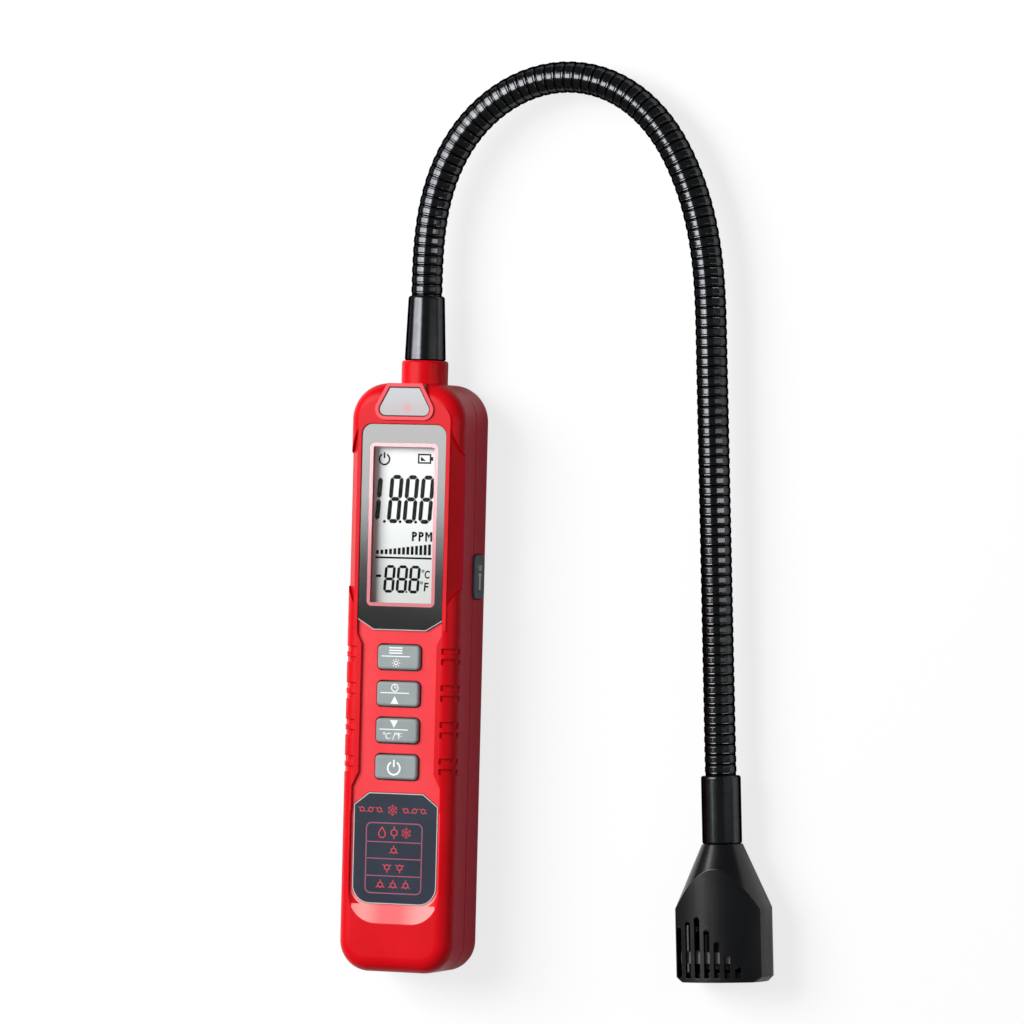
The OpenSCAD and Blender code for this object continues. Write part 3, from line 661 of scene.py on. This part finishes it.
def print_mesh(outlines, letters=(), thick=0.03):
    """Flat prisms from outlines and letters, on the plane z = 0, in millimetres."""
    bm = bmesh.new()
    for outline in outlines:
        bm.faces.new([bm.verts.new((a, b, 0)) for a, b in outline])
    for mesh in letters:
        bm.from_mesh(mesh)
        bpy.data.meshes.remove(mesh)
    bm.normal_update()
    bmesh.ops.triangulate(bm, faces=bm.faces[:])
    bm.normal_update()
    for face in bm.faces:
        if face.normal.z < 0:
            face.normal_flip()
    made = bmesh.ops.extrude_face_region(bm, geom=bm.faces[:])
    moved = [v for v in made["geom"] if isinstance(v, bmesh.types.BMVert)]
    bmesh.ops.translate(bm, verts=moved, vec=(0, 0, thick))
    bmesh.ops.recalc_face_normals(bm, faces=bm.faces[:])
    mesh = bpy.data.meshes.new("print")
    bm.to_mesh(mesh)
    bm.free()
    return mesh


def lay(mesh, x, y, z, turn=None):
    """Sizes a print from millimetres and lays it at a place on the object."""
    place = Matrix.Translation((x * MM, y * MM, z * MM))
    mesh.transform(place @ (turn or Matrix()) @ Matrix.Scale(MM, 4))
    return mesh


# Display

LCD_TOP = box_mm("lcd_glass")[1].z
LCD_LEAN = 0.07


def lcd_letter_p(x, y, w, h, t):
    r = h * 0.28
    right, top, low = x + w - r, y + h, y + h - 2 * r
    bowl = arc_band(right, top - r, r - t / 2, t, -90, 90, 10)
    return [bar(x, y, x + t, top), bowl, bar(x + t, top - t, right, top), bar(x + t, low, right, low + t)]


def lcd_letter_m(x, y, w, h, t):
    mid, low = x + w / 2, y + h * 0.35
    left = [(x + t, y + h), (x + t, y + h - t * 1.5), (mid, low), (mid, low + t * 1.5)]
    right = [(2 * mid - a, b) for a, b in left[::-1]]
    return [bar(x, y, x + t, y + h), bar(x + w - t, y, x + w, y + h), left[::-1], right[::-1]]


def lcd_segments():
    """Digits, units and signs on the LCD."""
    signs = power_sign(-8.0, 70.8, 1.75, 0.55)
    signs += [bar(3.6, 69.6, 8.2, 70.1), bar(3.6, 72.3, 8.2, 72.8), bar(3.6, 70.1, 4.1, 72.3)]
    signs += [bar(7.7, 70.1, 8.2, 72.3), bar(8.2, 70.6, 8.9, 71.8), [(4.6, 70.5), (6.4, 70.5), (4.6, 71.9)]]
    signs += seven_segment(-13.75, 50.1, 4.4, 15.7, 1.6, LCD_LEAN, "bc")
    for x in (-6.75, -1.3, 4.1):
        signs += seven_segment(x, 50.1, 4.55, 15.7, 1.35, LCD_LEAN)
        signs.append(disc(x - 0.75, 50.6, 0.5, 12))
    for x in (-7.45, -3.1, 1.2):
        signs += seven_segment(x, 27.5, 3.75, 9.0, 0.95, LCD_LEAN)
    signs += [bar(-9.95, 32.5, -8.2, 33.3), bar(-10.3, 38.6, 9.2, 39.2), disc(0.75, 27.9, 0.32, 12)]
    signs += ring(6.3, 34.8, 0.36, 0.24, 12) + ring(5.9, 31.0, 0.36, 0.24, 12)
    for x in (2.2, 4.5):
        signs += lcd_letter_p(x, 44.4, 1.75, 3.1, 0.65)
    signs += lcd_letter_m(6.8, 44.4, 2.4, 3.1, 0.62)
    letters = [words("C", 6.9, 32.4, 8.7, 35.0, 0.09, 0.08), words("F", 6.7, 28.3, 8.4, 31.1, 0.09, 0.08)]
    return print_mesh(signs, letters, 0.04)


def lcd_scale():
    """Level scale of the LCD: bars that grow to the right."""
    p = Pattern("lcd level scale", Bars=13, Left=-10.1, Low=40.0, Pitch=1.5, Width=0.95, Short=1.2, Tall=3.5)
    first = p.vector(p.size("Left") + p.size("Width") / 2, p.size("Low"), 0.02)
    steps = p.row(p.size("Bars"), first, p.vector(p.size("Pitch")))
    upright = p.shifted(p.block(p.size("Width"), 1.0, 0.04), p.vector(0.0, 0.5, 0.0))
    tall = p.size("Short") + (p.size("Tall") - p.size("Short")) * p.index() / (p.size("Bars") - 1.0)
    return p.mesh(p.repeat(steps, upright, scale=p.vector(1.0, tall, 1.0)), LCD_INK)


new_piece("lcd_segments", lay(lcd_segments(), 0, 0, LCD_TOP), LCD_INK, "handle")
new_piece("lcd_level_scale", lay(lcd_scale(), 0, 0, LCD_TOP), LCD_INK, "handle")


def lens_edge_highlight():
    """Painted highlight: a pale line along the cut lower edge of the lens, for the light caught on that edge.
    """
    w = lens_hi.x
    corner = [(-w, lens_lo.y + 3.3), (-w + 5.5, lens_lo.y), (w - 5.5, lens_lo.y), (w, lens_lo.y + 3.3)]
    return print_mesh([stroke(*a, *b, 0.26) for a, b in zip(corner, corner[1:])])


def badge_outline():
    """Edge of the indicator window: straight sides that lean in from round lower corners."""
    r, top = 2.2, 5.2
    x, y = window_hi.x - r, window_lo.y + r
    reach = math.hypot(top - x, window_hi.y - y)
    lean = math.degrees(math.atan2(window_hi.y - y, top - x) - math.acos(r / reach))
    right = arc(x, y, r, -90, lean, 8) + [(top, window_hi.y)]
    return right + [(-a, b) for a, b in right[::-1]]


# Painted shade: a dark line round the edge of the indicator window, for the shade in the gap between the
# window and its surround.
window_gap_shade = print_mesh(line_round(badge_outline(), 0.3))
new_piece("lens_edge_highlight", lay(lens_edge_highlight(), 0, 0, lens_hi.z - 0.01), EDGE_HIGHLIGHT_INK, "handle")
new_piece("window_gap_shade", lay(window_gap_shade, 0, 0, window_hi.z), GAP_SHADE_INK, "handle")

# Keys

KEY_LINE = bar(-4.95, 0.15, 4.95, 0.5)


def sun_rays(cx, cy):
    """Eight short rays of the light sign."""
    p = Pattern("sun rays", Rays=8, Reach=1.22, Length=0.5, Width=0.26)
    wheel = {"Vertices": p.size("Rays"), "Radius": p.size("Reach")}
    spots = p.node("GeometryNodeMeshCircle", inputs=wheel, out="Mesh")
    ray = p.block(p.size("Length"), p.size("Width"), 0.03)
    turn = p.turned(p.index() * (2 * math.pi) / p.size("Rays"))
    rays = p.shifted(p.repeat(spots, ray, rotation=turn), p.vector(cx, cy, 0.015))
    return p.mesh(rays, WHITE_INK)


def joined_mesh(*meshes):
    bm = bmesh.new()
    for mesh in meshes:
        bm.from_mesh(mesh)
        bpy.data.meshes.remove(mesh)
    made = bpy.data.meshes.new("joined")
    bm.to_mesh(made)
    bm.free()
    return made


def select_key_print():
    menu = [bar(-2.3, 1.15 + 0.85 * k, 2.3, 1.6 + 0.85 * k) for k in range(3)]
    sun = ring(0.2, -1.85, 0.55, 0.28, 16)
    return joined_mesh(print_mesh(menu + [KEY_LINE] + sun), sun_rays(0.2, -1.85))


def up_key_print():
    clock = ring(0, 2.0, 1.15, 0.34, 20) + [bar(-0.15, 1.95, 0.15, 2.8), bar(0, 1.85, 0.75, 2.1)]
    return print_mesh(clock + [KEY_LINE, [(-1.35, -3.2), (1.35, -3.2), (0.0, -0.6)]])


def down_key_print():
    arrow = [(-1.4, 3.35), (0.0, 0.85), (1.4, 3.35)][::-1]
    degrees = ring(-3.35, -1.0, 0.32, 0.22, 12) + ring(0.95, -1.0, 0.32, 0.22, 12)
    slash = stroke(-0.35, -3.0, 0.45, -0.7, 0.3)
    letters = [words("C", -2.85, -2.9, -0.8, -0.75, 0.05), words("F", 1.5, -2.9, 3.2, -0.75, 0.05)]
    return print_mesh([arrow, KEY_LINE, *degrees, slash], letters)


def power_key_print():
    return print_mesh(power_sign(0, -0.35, 2.1, 0.62))


for key, print_of, left in (
    ("key_select", select_key_print, 0.9),
    ("key_up", up_key_print, 0.9),
    ("key_down", down_key_print, 0.9),
    ("key_power", power_key_print, 0.6),
):
    key_lo, key_hi = box_mm(key)
    middle = (key_lo + key_hi) / 2
    sign = lay(print_of(), middle.x - left, middle.y, key_hi.z)
    new_piece(key + "_print", sign, WHITE_INK, key)

# Information panel


def panel_outline():
    """The panel's edge: cut upper corners and round lower ones."""
    w, top, r = panel_hi.x, panel_hi.y, 6.0
    lower = arc(r - w, panel_lo.y + r, r, 180, 270, 8) + arc(w - r, panel_lo.y + r, r, 270, 360, 8)
    return lower + [(w, top - 4.0), (w - 5.2, top), (5.2 - w, top), (-w, top - 4.0)]


def panel_title():
    """Row of signs at the head of the panel."""
    signs = snow_sign(-1.1, -42.85, 1.75, 0.36)
    for side in (-1, 1):
        for k, reach in enumerate((4.6, 7.6, 10.6)):
            x = -1.1 + side * reach
            signs += ring_sign(x, -42.85, 0.95, 0.3, (0, 3) if k % 2 else (2, 5))
    return print_mesh(signs)


TABLE_ROWS = (-53.2, -58.6, -64.2)


def panel_table():
    lines = round_frame(-10.2, -70.0, 9.45, -46.9, 1.9, 0.38)
    lines += [bar(-9.95, y - 0.17, 9.2, y + 0.17) for y in TABLE_ROWS]
    return print_mesh(lines)


def panel_signs():
    """Generic signs in the rows of the table."""
    mid = -0.4
    signs = drop_sign(mid - 4.2, -50.1, 1.9, 0.36)
    signs += ring_sign(mid, -50.1, 1.35, 0.36, (1, 4))
    signs += snow_sign(mid + 4.2, -50.1, 1.75, 0.36)
    for row, y in enumerate((-55.9, -61.4, -67.1)):
        for k in range(row + 1):
            x = mid + (k - row / 2) * 4.4
            signs += ring_sign(x, y, 1.1, 0.36, (0, 2, 4) if row % 2 else (1, 3, 5))
    return print_mesh(signs)


for name, made, colour in (
    ("panel_title", panel_title(), TITLE_INK),
    ("panel_table", panel_table(), TABLE_INK),
    ("panel_signs", panel_signs(), TITLE_INK),
    # Painted highlight: a pale line round the panel's rim.
    ("panel_edge_highlight", print_mesh(line_round(panel_outline(), 0.32)), EDGE_HIGHLIGHT_INK),
):
    new_piece(name, lay(made, 0, 0, panel_hi.z), colour, "handle")

# Side button


def torch_sign():
    """A hand torch with three rays, lying along the button."""
    signs = [bar(-4.2, -0.75, -0.3, 0.75), [(-0.3, -0.75), (1.1, -1.4), (1.1, 1.4), (-0.3, 0.75)]]
    return print_mesh(signs + [stroke(1.9, 0.8 * k, 3.8, 1.4 * k, 0.5) for k in (-1, 0, 1)])


button_lo, button_hi = box_mm("side_button")
ON_THE_SIDE = Matrix(((0, 0, 1, 0), (1, 0, 0, 0), (0, 1, 0, 0), (0, 0, 0, 1)))
button_mid = (button_lo + button_hi) / 2
new_piece(
    "side_button_print",
    lay(torch_sign(), button_hi.x, button_mid.y, button_mid.z, ON_THE_SIDE),
    WHITE_INK, "side_button",
)

# Neck

NECK_START = Vector((0, 124.86, 12.0))
NECK_LINKS, LINK_BEADS, BEAD_PITCH = 18, 6, 3.19
NECK_BEADS = NECK_LINKS * LINK_BEADS
NECK_SLOPE = math.radians(0.276)
BEND_START, BEND_TURN, BEND_L = 1.2, 120, 146.3
SECOND_TURN, SECOND_L = 57.3, 130.4


def eased(t):
    t = min(1.0, max(0.0, t))
    return t * t * (3 - 2 * t)


def bead_axis(k):
    """Direction of one bead, from the main bend and a second one that starts halfway along it."""
    run = (k + 0.5) * BEAD_PITCH - BEND_START
    first, second = eased(run / BEND_L), eased((run - BEND_L / 2) / SECOND_L)
    heading = math.radians(90 - BEND_TURN * first - SECOND_TURN * second)
    flat = math.cos(NECK_SLOPE)
    return Vector((math.cos(heading) * flat, math.sin(heading) * flat, -math.sin(NECK_SLOPE)))


BALLS = [NECK_START]
for k in range(NECK_BEADS):
    BALLS.append(BALLS[-1] + BEAD_PITCH * bead_axis(k))


def groove_seals(points):
    """Seals in the grooves: middle bands of balls about the neck's pivots, which the beads slide over."""
    p = Pattern("neck groove seals", points, Radius=4.95, Sides=28, Rings=24, Half_Band=1.35)
    ball = p.node(
        "GeometryNodeMeshUVSphere",
        inputs={"Segments": p.size("Sides"), "Rings": p.size("Rings"), "Radius": p.size("Radius")},
        out="Mesh",
    )
    smooth = p.node("GeometryNodeSetShadeSmooth", inputs={"Geometry": ball})
    mapped = p.node(
        "GeometryNodeStoreNamedAttribute",
        {"data_type": "FLOAT2", "domain": "CORNER"},
        {"Geometry": smooth, "Name": "UVMap", "Value": ball.beside("UV Map")},
    )
    spot = p.node("ShaderNodeSeparateXYZ", inputs={0: p.node("GeometryNodeInputPosition")})
    ends = {"Geometry": mapped, "Selection": abs(spot.beside(2)) > p.size("Half_Band")}
    band = p.node("GeometryNodeDeleteGeometry", {"domain": "POINT"}, ends)
    bands = p.repeat(Wire(p, p.given.outputs["Geometry"]), band, rotation=p.along_axis())
    return p.mesh(bands, FINISHES["neck_groove"])


for link in range(NECK_LINKS):
    last = link == NECK_LINKS - 1
    beads = range(link * LINK_BEADS, (link + 1) * LINK_BEADS + last)
    seals = groove_seals([(BALLS[k], bead_axis(k)) for k in beads])
    seals.transform(Matrix.Scale(MM, 4))
    body = "probe" if last else "neck_%02d" % (link + 1)
    new_piece("neck_seals_%02d" % (link + 1), seals, FINISHES["neck_groove"], body)

# Sensing head

HEAD_REACH = 22.46
HEAD_HALF, HEAD_FACE_R, HEAD_WALL = 10.0, 29.0, 1.6
HEAD_AXIS = bead_axis(NECK_BEADS)
HEAD_TOP = BALLS[-1] + HEAD_AXIS * HEAD_REACH
UPRIGHT = Vector((0, 0, 1))
HEAD_FRONT = (UPRIGHT - HEAD_AXIS * UPRIGHT.dot(HEAD_AXIS)).normalized()
HEAD_TURN = Matrix((HEAD_FRONT, HEAD_AXIS.cross(HEAD_FRONT), HEAD_AXIS)).transposed().to_4x4()
FILTER_FROM, FILTER_L, FILTER_T = 22.0, 19.0, 0.3
FILTER_GAP = 0.12
FILTER_SPREAD = 30


def dust_filter():
    """Thin dark cloth against the back wall of the head, behind its slots: a dust filter, made near black so
    that it also stands in for the shade inside the head.
    """
    r = HEAD_FACE_R - HEAD_WALL - FILTER_GAP
    middle = HEAD_FACE_R - HEAD_HALF
    low, high = 180 - FILTER_SPREAD, 180 + FILTER_SPREAD
    cross = arc(middle, 0, r, high, low, 24) + arc(middle, 0, r - FILTER_T, low, high, 24)
    mesh = print_mesh([cross], thick=FILTER_L)
    place = HEAD_TOP + HEAD_AXIS * FILTER_FROM
    mesh.transform(Matrix.Translation(place * MM) @ HEAD_TURN @ Matrix.Scale(MM, 4))
    return mesh


new_piece("dust_filter", dust_filter(), FINISHES["filter_cloth"], "probe")

# Stage


def pale_floor():
    """White to the camera and in reflections, greyer in the light that it throws back on the object."""
    f = Finish("pale floor")
    camera_ray = f.node("ShaderNodeLightPath", out="Is Camera Ray")
    mirror_ray = camera_ray.beside("Is Glossy Ray").most(camera_ray.beside("Is Transmission Ray"))
    seen = camera_ray.most(mirror_ray)
    paper = f.node(
        "ShaderNodeBsdfPrincipled",
        inputs={
            "Base Color": f.blend(seen, paint(112, 112, 112), paint(250, 250, 250)),
            "Roughness": 0.8,
            "Specular IOR Level": 0.0,
        },
    )
    glow = f.node("ShaderNodeEmission", inputs={"Color": (1, 1, 1, 1), "Strength": 1.0})
    share = (camera_ray * 0.78).most(mirror_ray * 0.15)
    both = f.node("ShaderNodeMixShader", inputs={0: share, 1: paper, 2: glow})
    f.node("ShaderNodeOutputMaterial", inputs={"Surface": both})
    return f.material


FLOOR_GAP = 0.2 * MM

floor = bpy.data.meshes.new("floor")
floor.from_pydata([(-3, -3, 0), (3, -3, 0), (3, 3, 0), (-3, 3, 0)], [], [(0, 1, 2, 3)])
floor.materials.append(pale_floor())
floor_plane = new_object("floor", floor)
floor_plane.location.z = CAD_BOX[0].z - FLOOR_GAP

VIEW_YAW = math.radians(20.0)
VIEW_ROLL = math.radians(1.42)
VIEW_AIM = Vector((32.41, 54.67, 14.75)) * MM
VIEW_FAR = 2200 * MM

camera_data = bpy.data.cameras.new("camera")
camera_data.lens = 238.64
camera_data.sensor_width = 36
camera_data.clip_start = 0.01
camera = new_object("camera", camera_data)
back = Vector((math.sin(VIEW_YAW), 0, math.cos(VIEW_YAW)))
level = Vector((math.cos(VIEW_YAW), 0, -math.sin(VIEW_YAW)))
north = Vector((0, 1, 0))
right = level * math.cos(VIEW_ROLL) + north * math.sin(VIEW_ROLL)
up = north * math.cos(VIEW_ROLL) - level * math.sin(VIEW_ROLL)
turn = Matrix((right, up, back)).transposed().to_4x4()
camera.matrix_world = Matrix.Translation(VIEW_AIM + back * VIEW_FAR) @ turn
bpy.context.scene.camera = camera


def softbox(name, place, aim, width, height, watts):
    """A soft lamp of a width and height in metres. Without an aim it points straight down."""
    light = bpy.data.lights.new(name, "AREA")
    light.shape = "RECTANGLE"
    light.size = width
    light.size_y = height
    light.energy = watts
    lamp = new_object(name, light)
    lamp.location = place
    if aim:
        lamp.rotation_euler = (Vector(aim) - Vector(place)).to_track_quat("-Z", "Y").to_euler()


softbox("overhead softbox", (-0.35, 0.27, 1.0), None, 0.34, 0.45, 5.0)
softbox("key softbox", (-1.7, 0.8, 1.9), (0.03, 0.03, 0.0), 1.6, 1.6, 66.0)
softbox("right strip", (0.9, 0.1, 0.45), (0.05, 0.05, 0.0), 0.035, 0.9, 1.1)

world = bpy.data.worlds.new("studio")
world.use_nodes = True
air = world.node_tree.nodes["Background"].inputs
air["Color"].default_value = (1, 1, 1, 1)
air["Strength"].default_value = 0.15
bpy.context.scene.world = world
bpy.context.scene.view_settings.view_transform = "Standard"
